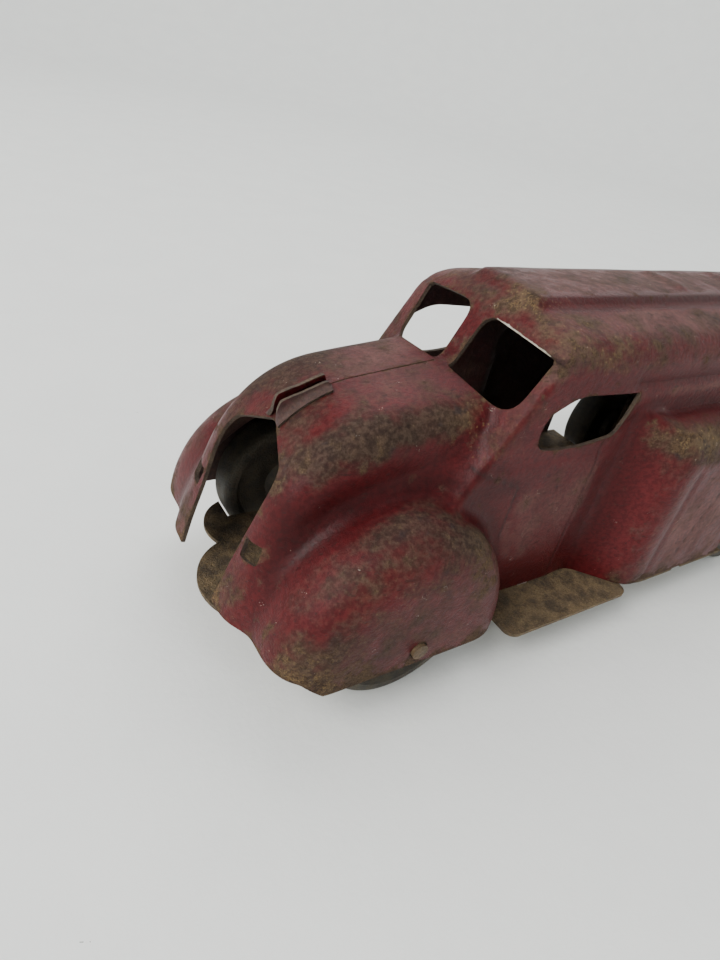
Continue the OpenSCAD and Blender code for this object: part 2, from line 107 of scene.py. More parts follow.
def formAt(u, side, z):
    f = bodyForm
    y = np.abs(side)
    hoodTop = f["hoodHeight"] - f["hoodSlope"] * u - f["hoodFall"] * np.maximum(u, 0) ** 2
    top = z - hoodTop + f["hoodCrown"] * y * y
    nose = (u - f["noseReach"] + f["noseRake"] * (z - f["noseDatum"])) / math.hypot(1, f["noseRake"])
    hood = softMax(softMax(top, nose, f["noseBlend"]), y - f["hoodHalf"], f["hoodBlend"])
    hood = softMax(hood, f["hoodEnd"] - u, f["hoodEndBlend"])
    rise = f["roofHeight"] - f["archFoot"]
    archStart = 1 - wheelBase
    archLength = wheelBase + tailReach + archStart
    arch = (np.hypot(np.maximum(archStart - u, 0) / archLength, np.maximum(z - f["archFoot"], 0) / rise) - 1) * rise

    def plan(half, start):
        length = wheelBase + tailReach + start
        p = f["tailPower"]
        return (((np.maximum(start - u, 0) / length) ** p + (y / half) ** p) ** (1 / p) - 1) * half

    glass = (u - f["glassFoot"] + f["glassSlope"] * (z - f["glassDatum"]) + f["glassSweep"] * y * y)
    glass = glass / math.hypot(1, f["glassSlope"])
    cab = softMax(plan(f["cabHalf"], -wheelBase - f["cabTail"]), glass, f["glassBlend"])
    cab = softMax(cab, arch + f["roofCrown"] * y * y, f["roofBlend"])
    shoulderTop = z - f["shoulder"] + f["shoulderDroop"] * np.minimum(u - f["droopStart"], 0) ** 2
    flare = (u - f["doorStep"] + f["flareSlope"] * (y - f["cabHalf"])) / math.hypot(1, f["flareSlope"])
    skirt = softMax(plan(f["skirtHalf"], -wheelBase - f["skirtTail"]), shoulderTop, f["shoulderBlend"])
    skirt = softMax(skirt, flare, f["flareBlend"])
    p = bodyPressings
    skirtLine = bump(-u, -f["doorStep"] + 9.2 + p["skirtLineBack"], p["skirtLineWidth"]) * fadeIn(y, 26, 29)
    skirt = skirt + p["skirtLineDepth"] * skirtLine * fadeIn(-z, -44, -38)
    walk = softMax(y - f["walkHalf"], arch - f["walkRise"] + f["walkCrown"] * y * y, f["walkSideBlend"])
    walk = softMax(walk, u - f["walkStart"] + f["walkLean"] * (z - f["walkDatum"]), f["walkEndBlend"])
    for place in p["ribPlaces"]:
        rib = p["ribRise"] * bump(u, place, p["ribWidth"]) * fadeIn(-y, -p["ribHalf"], 2 - p["ribHalf"])
        walk = walk - rib * (z > f["walkDatum"])
    body = softMin(softMin(cab, skirt, f["skirtJoin"]), walk, f["walkJoin"])
    swage = p["swageDepth"] * bump(z, p["swageHeight"], p["swageWidth"])
    swage = swage * fadeIn(-u, -p["swageStart"], 6 - p["swageStart"])
    lowSwage = p["skirtSwageDepth"] * bump(z, p["skirtSwageHeight"], p["skirtSwageWidth"])
    swage = swage + lowSwage * fadeIn(-u, 56, 62)
    body = body + swage * fadeIn(y, 15, 18)
    reachAlong = np.where(u > 0, f["fenderFront"], f["fenderRear"])
    upAndDown = np.abs(z - f["fenderCentre"]) / f["fenderTop"]
    ring = np.sqrt((np.abs(u) / reachAlong) ** f["fenderPower"] + upAndDown ** 2) - 1
    fender = softMax(y - f["fenderHalf"], ring * f["fenderScale"], f["fenderBlend"])
    belt = p["beltDepth"] * bump(z + p["beltSlope"] * u, p["beltHeight"] - p["beltDrop"], p["beltWidth"])
    belt = belt * fadeIn(y, 13, 16) * fadeIn(-u, -8, 6)
    cowl = 1 + (f["cowlBlend"] - 1) * np.clip((f["cowlHigh"] - z) / (f["cowlHigh"] - f["cowlLow"]), 0, 1)
    return softMin(softMin(hood + belt, body, cowl), fender, f["fenderJoin"])


def meetForm(origin, direction, inset=0.0, farthest=90.0):
    near = np.zeros(direction.shape[:-1])
    far = np.full(direction.shape[:-1], farthest)
    for halving in range(30):
        middle = (near + far) / 2
        p = origin + direction * middle[..., None]
        inside = formAt(p[..., 0], p[..., 1], p[..., 2]) + inset < 0
        near = np.where(inside, middle, near)
        far = np.where(inside, far, middle)
    return (near + far) / 2


# Shell mesh
shellMesh = {
    "sheet": 0.8, "tailRows": 34, "tankRows": 92, "cabRows": 132, "noseRows": 84, "columns": 104,
    "tankEnd": -62.0, "nosePole": 4.0, "waviness": 0.14, "lineDepth": .16, "seed": 11,
}
rimLow = plateTop + 0.1
rimLine = (  # the lower rim: u, then its height
    (-60, -23, -21, 18.5, 22.5, 30),
    (rimLow, rimLow, rimLow + 1.8, rimLow + 1.8, rimLow + 5.0, rimLow + 5.8),
)
rayHeight = plateTop - 0.2


def skinGrid():
    s = shellMesh
    tailPole = -wheelBase - bodyForm["cabTail"]
    n = s["columns"]
    tankLength = s["tankEnd"] - tailPole
    cabLength = s["nosePole"] - s["tankEnd"]
    rows = [(tailPole, math.radians(180 - 90 * i / s["tailRows"])) for i in range(s["tailRows"])]
    rows += [(tailPole + tankLength * i / s["tankRows"], math.pi / 2) for i in range(s["tankRows"])]
    rows += [(s["tankEnd"] + cabLength * i / s["cabRows"], math.pi / 2) for i in range(s["cabRows"] + 1)]
    rows += [(s["nosePole"], math.radians(90 - 90 * i / s["noseRows"])) for i in range(1, s["noseRows"] + 1)]
    along, turns = np.array(rows).T
    ahead = np.stack([np.cos(turns), np.sin(turns), turns * 0], -1)
    height = np.full(len(rows), rimLow)
    for tries in range(7):
        across = meetForm(np.stack([along, along * 0, height], -1), ahead)
        height = (height + np.interp(along + across * ahead[:, 0], *rimLine)) / 2
    low = np.arctan2(height - rayHeight, across)
    lift = low[:, None] + (math.pi / 2 - low[:, None]) * np.linspace(0, 1, n + 1)
    d = np.cos(lift)[..., None] * ahead[:, None] + np.sin(lift)[..., None] * np.array([0, 0, 1.0])
    o = np.stack([along, along * 0, along * 0 + rayHeight], -1)[:, None]
    half = o + d * meetForm(o, d)[..., None]
    half[:, -1, 1] = 0
    points = np.concatenate([half, half[:, -2::-1] * [1, -1, 1]], axis=1)
    return points, s["tailRows"], len(rows) - 1 - s["noseRows"]


def gridFaces(rowCount, n, tailPole, nosePole):
    width = 2 * n + 1

    def index(r, c):
        if c == n:
            r = tailPole if r < tailPole else nosePole if r > nosePole else r
        if r in (0, rowCount - 1) and c > n:
            c = 2 * n - c
        return r * width + c

    faces = []
    for r in range(rowCount - 1):
        for c in range(width - 1):
            ring = []
            for i in (index(r, c), index(r + 1, c), index(r + 1, c + 1), index(r, c + 1)):
                if i not in ring:
                    ring.append(i)
            if len(ring) > 2:
                faces.append(ring)
    return faces


# Openings, as outlines with rounded corners
openingShapes = {
    "grille": [(1, 45.6, .5), (5, 43.9, 2), (9.0, 42.0, 1.2), (10.1, 39.1, 2), (10, 34.5, 4), (9, 27.7, 8),
               (8.6, 21.1, 4), (8, 15.6, 1), (8, 4, 1)],
    "windowLeft": [(-25.0, 46.4, 1.5), (-24.1, 49.8, 2.5), (-24.8, 53.2, 3), (-31.4, 56.6, 3), (-49.2, 55.6, .4),
                   (-47.9, 49.6, 2), (-46.4, 46.4, 1.6), (-37, 45.2, 3), (-29.2, 45.6, 2.5)],
    "windowRight": [(-22.6, 46.8, 1.5), (-21.4, 50.4, 2.5), (-22.2, 54.4, 3), (-28.4, 57.2, 3), (-42, 56.2, .6),
                    (-41, 50, 2), (-39.4, 47, 1.6), (-33, 46, 3), (-26.8, 46, 2.5)],
    "paneLeft": [(2.6, 0.1, .4), (18.7, -1.0, 4.6), (18.9, 11.4, .3), (2.1, 12.0, 3.6)],
    "paneRight": [(.9, -.3, .4), (15.6, -.9, 2.4), (17.4, 11.7, 1.2), (1.9, 12.4, 3.6)],
    "slotMiddle": (12.2, 28.7), "slotSize": (4.1, 3.5), "slotTurn": 6.0,
    "archGap": 3.0, "axleHole": 1.8, "seamHalf": 0.13, "seamFrom": -14.6, "seamTo": 8.4,
}


def roundedOutline(corners, steps=7):
    points = []
    count = len(corners)
    for i, (x, y, radius) in enumerate(corners):
        here = Vector((x, y))
        before = (Vector(corners[i - 1][:2]) - here)
        after = (Vector(corners[(i + 1) % count][:2]) - here)
        cut = min(radius, before.length * 0.45, after.length * 0.45)
        a, b = here + before.normalized() * cut, here + after.normalized() * cut
        for k in range(steps):
            t = k / (steps - 1)
            p = a * (1 - t) ** 2 + here * 2 * t * (1 - t) + b * t * t
            points.append((p.x, p.y))
    return np.array(points)


def outlineDistance(px, py, outline):
    best = np.full(px.shape, 1e9)
    inside = np.zeros(px.shape, bool)
    for (ax, ay), (bx, by) in zip(outline, np.roll(outline, -1, axis=0)):
        ex, ey = bx - ax, by - ay
        t = np.clip(((px - ax) * ex + (py - ay) * ey) / (ex * ex + ey * ey + 1e-12), 0, 1)
        best = np.minimum(best, (px - ax - t * ex) ** 2 + (py - ay - t * ey) ** 2)
        crosses = ((ay > py) != (by > py)) & (px < ex * (py - ay) / (ey + (ey == 0) * 1e-12) + ax)
        inside ^= crosses
    return np.where(inside, -1, 1) * np.sqrt(best)


farAway = 9.0  # stands for "no opening here"


def openingDistance(p):
    o = openingShapes
    u, y, z = p[:, 0], np.abs(p[:, 1]), p[:, 2]
    half = roundedOutline([(-0.5, 45.7, .01)] + o["grille"] + [(-0.5, 4, .01)])
    g = np.where(u > 8, outlineDistance(y, z, half), farAway)
    left = p[:, 1] > 0
    for side, here in (("Left", left), ("Right", ~left)):
        window = outlineDistance(u, z, roundedOutline(o["window" + side]))
        g = np.minimum(g, np.where(here & (y > 14) & (u < -18), window, farAway))
    slope = math.atan(bodyForm["glassSlope"])
    alongSlope = (z - bodyForm["glassDatum"]) * math.cos(slope) - (u - bodyForm["glassFoot"]) * math.sin(slope)
    offPane = (z - bodyForm["glassDatum"]) * math.sin(slope) + (u - bodyForm["glassFoot"]) * math.cos(slope)
    for side, here in (("Left", left), ("Right", ~left)):
        pane = outlineDistance(y, alongSlope, roundedOutline(o["pane" + side]))
        g = np.minimum(g, np.where(here & (np.abs(offPane + 1.4) < 4.2) & (u < -12), pane, farAway))
    turn = math.radians(o["slotTurn"])
    sy, sz = y - o["slotMiddle"][0], z - o["slotMiddle"][1]
    sa = np.abs(sy * math.cos(turn) + sz * math.sin(turn)) - o["slotSize"][0] / 2
    sb = np.abs(sz * math.cos(turn) - sy * math.sin(turn)) - o["slotSize"][1] / 2
    g = np.minimum(g, np.where(u > 14, np.maximum(sa, sb), farAway))
    radius = axleZ + o["archGap"]
    arch = np.where(z > axleZ, np.hypot(u + wheelBase, z - axleZ), np.abs(u + wheelBase)) - radius
    g = np.minimum(g, np.where(y > 20, arch, farAway))
    g = np.minimum(g, np.where(y > 28, np.hypot(u, z - axleZ) - o["axleHole"], farAway))
    seam = np.maximum(y - o["seamHalf"], np.maximum(o["seamFrom"] - u, u - o["seamTo"]))
    return np.minimum(g, np.where(z > 46, seam, farAway))


def clipFaces(points, faces, g):
    g = np.where(np.abs(g) < 0.015, 0.015, g)
    cutAt = {}
    extra = []
    kept = []

    def between(a, b):
        key = (min(a, b), max(a, b))
        if key not in cutAt:
            t = g[a] / (g[a] - g[b])
            cutAt[key] = len(points) + len(extra)
            extra.append(points[a] + (points[b] - points[a]) * t)
        return cutAt[key]

    for face in faces:
        signs = [g[i] > 0 for i in face]
        if all(signs):
            kept.append(face)
        elif any(signs):
            ring = []
            for k, i in enumerate(face):
                j = face[(k + 1) % len(face)]
                if signs[k]:
                    ring.append(i)
                if signs[k] != signs[(k + 1) % len(face)]:
                    ring.append(between(i, j))
            if len(ring) > 2:
                kept.append(ring)
    return np.concatenate([points, np.array(extra)]), kept


def gradientAt(p, h=0.05):
    g = np.zeros(p.shape)
    for axis in range(3):
        d = np.zeros(3)
        d[axis] = h
        a, b = p + d, p - d
        g[:, axis] = formAt(a[:, 0], a[:, 1], a[:, 2]) - formAt(b[:, 0], b[:, 1], b[:, 2])
    return g / (np.linalg.norm(g, axis=1, keepdims=True) + 1e-9)


def bending(p, h):
    total = -6 * formAt(p[:, 0], p[:, 1], p[:, 2])
    for axis in range(3):
        for s in (-h, h):
            q = p.copy()
            q[:, axis] += s
            total = total + formAt(q[:, 0], q[:, 1], q[:, 2])
    return total / h / h


# Spots of wear, of painted shade and of painted highlight. Each spot is (u, side, z, reach along, reach across, reach
# up, strength).
# "both" is laid on each side, "one" stays where it is given.
wearAndLightSpots = {
    "grime": {
        "both": [
            (21, 9, 41, 4, 4, 5, .75), (15, 12.5, 45.5, 6, 3, 3, .95), (7, 14, 48.5, 7, 3.2, 2.6, 1.0),
            (0, 14.8, 50, 7, 3, 2.4, 1.0), (-8, 14.5, 51, 7, 3.5, 2.4, .95), (-17, 17.5, 48.2, 7, 3, 1.3, .9),
            (26, 10, 19, 3, 5, 5, .8), (21, 28, 15, 5, 5, 6, 1.0), (12, 31, 12, 8, 2.5, 4, .75),
            (-3, 31.7, 22, 12, 2, 6, .45), (-5, 28, 34, 9, 4, 4, .9), (5, 24, 38, 8, 4, 2.4, .8),
            (-4, 21, 39.5, 8, 4, 1.6, .8), (-26, 17, 64, 6, 5, 3, .15), (-33, 18.5, 63.5, 6, 4, 2.6, .3),
            (-50, 19, 61, 12, 3, 1.8, .4), (-27, 7, 68, 5, 5, 2, .85), (-40, 12, 67.8, 7, 3, 1.5, .4),
            (-62, 29, 46.5, 9, 6, 4, 1.0), (-90, 28, 46, 24, 7, 3.5, .75), (-19, 19, 53, 5, 4, 7, .5),
            (-100, 15, 66, 34, 8, 3, .6), (-140, 10, 56, 20, 20, 9, .7), (-60, 31, 11, 30, 2, 2.4, .6),
            (-120, 31, 30, 30, 2, 3, .5), (15.6, 14.5, 44.2, 5, 2, 3, .7), (18, 31, 21, 6, 3, 6, .7),
            (4, 31.8, 20, 12, 2, 8, .35), (15, 27, 33, 7, 4, 3, .4),
        ],
        "one": [
            (16, 0, 49, 5, 7, 3, .9), (8, -9, 51, 9, 5, 2.5, .85), (-70, 0, 70, 36, 8, 2.5, .35),
            (10, -15, 46, 10, 3, 3, .7),
        ],
    },
    "rust": {
        "both": [
            (20, 26, 13, 8, 7, 7, 1.0), (14, 31, 11, 9, 2, 5, .8), (25, 8, 16, 4, 3, 4, .8),
            (24, 12, 21, 4, 4, 4, .45), (0, 32, 11.5, 24, 2, 2.2, .9), (14, 13, 45, 8, 2.4, 2, .45),
            (-16, 17, 47, 8, 4, 1.4, .5), (-12, 30, 30, 6, 3, 6, .4), (4, 27, 37, 8, 3, 2, .4),
            (-63, 29, 47, 7, 4, 2.5, .6), (-34, 18, 63, 5, 3, 2.4, .5), (-60, 31.5, 10, 30, 2, 1.2, .8),
            (-110, 31.5, 10, 50, 2, 1.4, .7),
        ],
        "one": [
            (-25, 5, 68.5, 5, 5, 2, .5), (15, 0, 51, 3, 4, 2, .4),
        ],
    },
    "gold": {
        "both": [
            (20, 26, 12, 7, 6, 6, 1.0), (-38, 18.5, 62.5, 5, 3, 2.5, 1.0), (-30, 15, 66, 7, 4, 2.5, .8),
            (-44, 16, 65, 5, 3, 2, .8), (-52, 20, 60, 8, 2, 1.6, .6), (-64, 29, 47.5, 8, 5, 2.2, .95),
            (-17, 19, 46, 8, 3, 1.4, .6), (-14, 15, 51, 4, 4, 2, .8), (-14, 30, 30, 5, 4, 8, .6),
            (26, 9, 16, 4, 3, 3, 1.0), (8, 29, 30, 6, 3, 4, .35), (-110, 17, 62, 16, 4, 4, .6),
            (-95, 29, 46, 20, 4, 2, .6),
        ],
        "one": [
            (-26, 6, 68.4, 7, 4, 2, 1.0),
        ],
    },
    # painted shade: dark maroon laid into the valley between hood and fender, the grooves, the lower door, the flare
    # and the hood seam
    "paintedShade": {
        "both": [
            (10, 17, 37, 9, 3, 4, 1.0), (-4, 18, 40.5, 12, 3, 2.6, 1.0), (17.5, 17, 32.5, 5, 3, 5, 1.0),
            (21, 16.5, 25, 4, 3, 6, .9), (-18, 21, 39, 8, 3, 2.5, .6), (-14, 20.5, 43.6, 8, 2, 1.2, .5),
            (-30, 21, 13, 20, 3, 4, .6), (-54, 24, 28, 3, 3, 18, .45), (21, 14, 38, 3, 3, 6, .5),
            (-80, 21, 50, 50, 2, 1.2, .9), (-80, 21, 58.1, 50, 2, 1.3, .9), (-76, 8.4, 69.3, 60, 1.5, 1.6, 1.0),
            (-52, 21, 46, 2, 2, 6, .4),
        ],
        "one": [
            (12, 0, 53, 5, 1.2, 1.5, .6),
        ],
    },
    # painted highlight: lighter red on the hood top, the fender crest, the hood edge, the cab sides and beside the
    # grooves
    "paintedHighlight": {
        "both": [
            (3, 7.5, 52.2, 8, 4, 2, .9), (15, 26, 31, 6, 5, 5, .2), (-57.5, 27, 26, 2.5, 4, 20, .5),
            (-22, 20, 59, 3, 3, 4, .8), (10, 15.6, 43.5, 9, 2, 1.8, .3), (-50, 20.5, 59, 16, 1.5, 1, .9),
            (-50, 21, 58, 20, 2, 1, .6), (6, 13, 42, 12, 2.5, 2.5, .7),
        ],
        "one": [
            (-36, 7, 69.5, 4, 3, 1.4, .8),
        ],
    },
    "chalk": {
        "both": [
            (-80, 31, 26, 17, 3, 18, 1.0), (-40, 21.2, 30, 9, 2, 12, .75), (-145, 28, 28, 22, 8, 18, .9),
            (-2, 31.9, 16, 13, 1.5, 9, .5), (-54, 13.5, 67.4, 18, 4, 1.8, 1.0), (-100, 13, 67, 40, 6, 3, .8),
            (-80, 21, 54.4, 40, 2, 2, .9), (-28, 21, 26, 8, 2, 10, .4), (-23, 20.4, 61.5, 3, 3, 3, .9),
            (-30, 20.8, 28, 7, 2, 9, .35), (-4, 6, 53, 7, 4, 2, .4), (-29, 19.5, 64.2, 4, 3, 2.5, .8),
        ],
        "one": [
            (-6, -9, 53, 8, 6, 3, .9), (-70, 0, 70.2, 36, 7, 2, .8),
        ],
    },
}


def wearAndLightAt(kind, p):
    total = np.zeros(len(p))
    spots = wearAndLightSpots[kind]
    twins = [(u, -y, z, ru, ry, rz, strength * .85) for u, y, z, ru, ry, rz, strength in spots["both"]]
    for u, y, z, ru, ry, rz, strength in spots["both"] + twins + spots["one"]:
        d = ((p[:, 0] - u) / ru) ** 2 + ((p[:, 1] - y) / ry) ** 2 + ((p[:, 2] - z) / rz) ** 2
        total = 1 - (1 - total) * (1 - strength * np.exp(-d * 0.8))
    return total


# Dark press lines and scratches on each side: both ends as (u, z), then half the width.
sideLines = [
    ((-12, 43.6), (-24, 38.6), .16), ((-23.6, 38.8), (-23.4, 26.6), .14), ((-44, 46), (-44.6, 12), .12),
    ((-32, 41), (-30, 39.6), .1), ((-36, 37), (-33.4, 35.8), .08), ((-84, 44), (-76, 14), .12),
    ((-24, 62.8), (-30, 63.2), .2),
]


def linesAt(p):
    total = np.zeros(len(p))
    for (ua, za), (ub, zb), half in sideLines:
        along, up = ub - ua, zb - za
        t = np.clip(((p[:, 0] - ua) * along + (p[:, 2] - za) * up) / (along ** 2 + up ** 2), 0, 1)
        away = np.hypot(p[:, 0] - ua - t * along, p[:, 2] - za - t * up)
        total = np.maximum(total, np.exp(-(away / (half * 2)) ** 2) * (np.abs(p[:, 1]) > 14))
    return total


def slowWaves(p, seed):
    rng = np.random.default_rng(seed)
    total = np.zeros(len(p))
    for k in range(9):
        direction = rng.normal(size=3)
        direction /= np.linalg.norm(direction)
        length = rng.uniform(7, 26)
        total += np.sin(p @ direction * 2 * math.pi / length + rng.uniform(0, 6.28)) * length / 26
    return total / 3.2


def meshObject(name, points, faces, materials, materialIndex=None, attributes=None, sharpAt=35):
    mesh = bpy.data.meshes.new(name)
    mesh.from_pydata((points * mm).tolist(), [], faces)
    for m in materials:
        mesh.materials.append(m)
    if materialIndex is not None:
        mesh.polygons.foreach_set("material_index", np.array(materialIndex, np.int32))
    for key, values in (attributes or {}).items():
        layer = mesh.attributes.new(key, "FLOAT", "POINT")
        layer.data.foreach_set("value", np.asarray(values, np.float32))
    mesh.validate()
    mesh.polygons.foreach_set("use_smooth", np.full(len(mesh.polygons), True))
    mesh.set_sharp_from_angle(angle=math.radians(sharpAt))
    mesh.update()
    piece = bpy.data.objects.new(name, mesh)
    bpy.context.scene.collection.objects.link(piece)
    return piece


def thickSheet(points, faces, normals, sheet):
    count = len(points)
    inner = points - normals * sheet
    edges = {}
    for face in faces:
        for k, i in enumerate(face):
            j = face[(k + 1) % len(face)]
            edges[(i, j)] = edges.get((i, j), 0) + 1
    rims = [[j, i, i + count, j + count] for (i, j) in edges if (j, i) not in edges]
    back = [[i + count for i in reversed(face)] for face in faces]
    index = [0] * len(faces) + [1] * len(back) + [2] * len(rims)
    return np.concatenate([points, inner]), faces + back + rims, index


def compacted(points, faces):
    used = np.unique(np.concatenate([np.array(f) for f in faces]))
    place = np.full(len(points), -1)
    place[used] = np.arange(len(used))
    return points[used], [[int(place[i]) for i in f] for f in faces]


def buildShell(materials):
    grid, tailPole, nosePole = skinGrid()
    n = shellMesh["columns"]
    faces = gridFaces(len(grid), n, tailPole, nosePole)
    points = grid.reshape(-1, 3)
    points, faces = clipFaces(points, faces, openingDistance(points))
    points, faces = compacted(points, faces)
    normals = gradientAt(points)
    fine, broad = bending(points, 0.8), bending(points, 3.0)
    marks = {
        "ridge": np.clip(fine / 0.5, 0, 1), "swell": np.clip(broad / 0.16, 0, 1),
        # concave places, used only for painted shade in the paint
        "concaveShade": np.clip(-broad / 0.14, 0, 1),
        "rimNear": np.exp(-np.abs(openingDistance(points)) / 0.6),
        "lowEdge": np.exp(-np.abs(points[:, 2] - np.interp(points[:, 0], *rimLine)) / 1.1),
    }
    for kind in wearAndLightSpots:
        marks[kind] = wearAndLightAt(kind, points)
    marks["line"] = linesAt(points)
    inward = np.clip(slowWaves(points, shellMesh["seed"]) * 0.5 + 0.5, 0, 1) * shellMesh["waviness"]
    flatten = fadeIn(np.abs(openingDistance(points)), 0.0, 2.0)
    pressed = inward * flatten + shellMesh["lineDepth"] * marks["line"] * flatten
    moved = points - normals * pressed[:, None]
    moved[:, 2] = np.maximum(moved[:, 2], points[:, 2] - 0.2)
    thick, allFaces, index = thickSheet(moved, faces, normals, shellMesh["sheet"])
    thick[:, 0] += frontX
    marks = {k: np.concatenate([v, v]) for k, v in marks.items()}
    return meshObject("bodyShell", thick, allFaces, materials, index, marks)


# Node helpers
def put(tree, kind, inputs=None, **settings):
    node = tree.nodes.new(kind)
    for key, value in settings.items():
        setattr(node, key, value)
    for key, value in (inputs or {}).items():
        if isinstance(value, bpy.types.NodeSocket):
            tree.links.new(value, node.inputs[key])
        else:
            node.inputs[key].default_value = value
    return node


def maths(tree, operation, a, b=0.0, clamp=False):
    return put(tree, "ShaderNodeMath", {0: a, 1: b}, operation=operation, use_clamp=clamp).outputs[0]


def added(tree, *values):
    total = values[0]
    for value in values[1:]:
        total = maths(tree, "ADD", total, value)
    return total


def scaledBy(tree, value, factor):
    return maths(tree, "MULTIPLY", value, factor)


def spread(tree, value, low, high, toLow=0.0, toHigh=1.0):
    ends = {"Value": value, "From Min": low, "From Max": high, "To Min": toLow, "To Max": toHigh}
    return put(tree, "ShaderNodeMapRange", ends, interpolation_type="SMOOTHSTEP").outputs["Result"]


def blendColour(tree, factor, a, b, kind="MIX"):
    return put(tree, "ShaderNodeMix", {0: factor, 6: a, 7: b}, data_type="RGBA", blend_type=kind).outputs[2]


def blendValue(tree, factor, a, b):
    return put(tree, "ShaderNodeMix", {0: factor, 2: a, 3: b}, data_type="FLOAT").outputs[0]


def grouped(tree, group, output="Mask", **inputs):
    node = put(tree, "ShaderNodeGroup", inputs, node_tree=group)
    return node.outputs[output] if output else node.outputs


def blotches(tree, position, size, detail, low, high):
    return grouped(tree, blotch, Position=position, Size=size, Detail=detail, Low=low, High=high)


def newGroup(name, numbers, outputs=(("Mask", "NodeSocketFloat"),)):
    tree = bpy.data.node_groups.new(name, "ShaderNodeTree")
    tree.interface.new_socket(name="Position", in_out="INPUT", socket_type="NodeSocketVector")
    for label, default in numbers.items():
        socket = tree.interface.new_socket(name=label, in_out="INPUT", socket_type="NodeSocketFloat")
        socket.default_value = default
    for label, kind in outputs:
        tree.interface.new_socket(name=label, in_out="OUTPUT", socket_type=kind)
    return tree, put(tree, "NodeGroupInput").outputs, put(tree, "NodeGroupOutput").inputs


def dividedPosition(tree, given, sizeName):
    share = maths(tree, "DIVIDE", 1.0, given[sizeName])
    return put(tree, "ShaderNodeVectorMath", {0: given["Position"], "Scale": share}, operation="SCALE").outputs[0]


def noiseAt(tree, where, **inputs):
    return put(tree, "ShaderNodeTexNoise", {"Vector": where, **inputs}).outputs


def buildBlotch():
    tree, given, result = newGroup("blotch", {"Size": 4.0, "Detail": 4.0, "Low": 0.4, "High": 0.6})
    where = dividedPosition(tree, given, "Size")
    noise = noiseAt(tree, where, Scale=1.0, Detail=given["Detail"], Roughness=0.6)
    tree.links.new(spread(tree, noise["Fac"], given["Low"], given["High"]), result["Mask"])
    return tree


def buildFibres():
    # Thin curly lines where a noise passes its middle, like brushed rust and hair scratches.
    tree, given, result = newGroup("fibres", {"Size": 1.0, "Thinness": 0.03, "Cover": 0.5})
    where = dividedPosition(tree, given, "Size")
    noise = noiseAt(tree, where, Scale=1.0, Detail=1.5, Roughness=0.5)
    away = maths(tree, "ABSOLUTE", maths(tree, "SUBTRACT", noise["Fac"], 0.5))
    line = maths(tree, "SUBTRACT", 1.0, spread(tree, away, 0.0, given["Thinness"]))
    patch = noiseAt(tree, where, Scale=0.31, Detail=2.0)
    shown = spread(tree, patch["Fac"], maths(tree, "SUBTRACT", 1.0, given["Cover"]),
                   maths(tree, "SUBTRACT", 1.12, given["Cover"]))
    tree.links.new(scaledBy(tree, line, shown), result["Mask"])
    return tree


def buildCrumbs():
    # Small separate specks: voronoi cells, of which only some carry one.
    tree, given, result = newGroup("crumbs", {"Spacing": 3.0, "Radius": 0.1, "Share": 0.3})
    where = dividedPosition(tree, given, "Spacing")
    wobble = noiseAt(tree, where, Scale=9.0, Detail=2.0)
    bent = put(tree, "ShaderNodeVectorMath", {0: where, 1: wobble["Color"]}, operation="ADD").outputs[0]
    cells = put(tree, "ShaderNodeTexVoronoi", {"Vector": bent, "Scale": 1.0, "Randomness": 1.0}).outputs
    close = maths(tree, "LESS_THAN", cells["Distance"], given["Radius"])
    pick = put(tree, "ShaderNodeSeparateColor", {"Color": cells["Color"]}).outputs
    chosen = maths(tree, "LESS_THAN", pick["Red"], given["Share"])
    tree.links.new(scaledBy(tree, close, chosen), result["Mask"])
    return tree


rustFibres = [  # size, thinness, cover, strength, colour
    (0.9, .040, .64, .85, (.220, .145, .062, 1)), (0.5, .05, .58, .6, (.165, .090, .034, 1)),
]


def buildRustBody():
    # Layered rust: brown ground, darker pits and golden fibres, with its own height.
    outputs = (("Colour", "NodeSocketColor"), ("Height", "NodeSocketFloat"))
    tree, given, result = newGroup("rustBody", {"Gold": 0.3}, outputs)
    where = given["Position"]
    broad = blotches(tree, where, 2.6, 4.0, .38, .62)
    medium = blotches(tree, where, 0.75, 4.0, .4, .6)
    grain = blotches(tree, where, 0.26, 2.0, .36, .64)
    colour = blendColour(tree, broad, (.028, .017, .012, 1), (.070, .043, .026, 1))
    colour = blendColour(tree, scaledBy(tree, medium, 0.55), colour, (.092, .062, .040, 1))
    colour = blendColour(tree, scaledBy(tree, grain, 0.5), colour, (.018, .0115, .0085, 1))
    for size, thinness, cover, strength, tone in rustFibres:
        line = grouped(tree, fibres, Position=where, Size=size, Thinness=thinness, Cover=cover)
        amount = scaledBy(tree, line, scaledBy(tree, given["Gold"], strength))
        colour = blendColour(tree, amount, colour, tone)
    tree.links.new(colour, result["Colour"])
    tree.links.new(added(tree, scaledBy(tree, medium, .6), scaledBy(tree, grain, .4)), result["Height"])
    return tree


blotch = buildBlotch()
fibres = buildFibres()
crumbs = buildCrumbs()
rustBody = buildRustBody()


def newMaterial(name):
    material = bpy.data.materials.new(name)
    material.use_nodes = True
    tree = material.node_tree
    tree.nodes.clear()
    shader = put(tree, "ShaderNodeBsdfPrincipled")
    put(tree, "ShaderNodeOutputMaterial", {"Surface": shader.outputs[0]})
    where = put(tree, "ShaderNodeTexCoord").outputs["Object"]
    position = put(tree, "ShaderNodeVectorMath", {0: where, "Scale": 1000.0}, operation="SCALE").outputs[0]
    return material, tree, shader, position


def mark(tree, name):
    return put(tree, "ShaderNodeAttribute", attribute_name=name).outputs["Fac"]


def heightToNormal(tree, shader, height, strength, distance):
    node = put(tree, "ShaderNodeBump", {"Height": height, "Strength": strength, "Distance": distance})
    tree.links.new(node.outputs["Normal"], shader.inputs["Normal"])


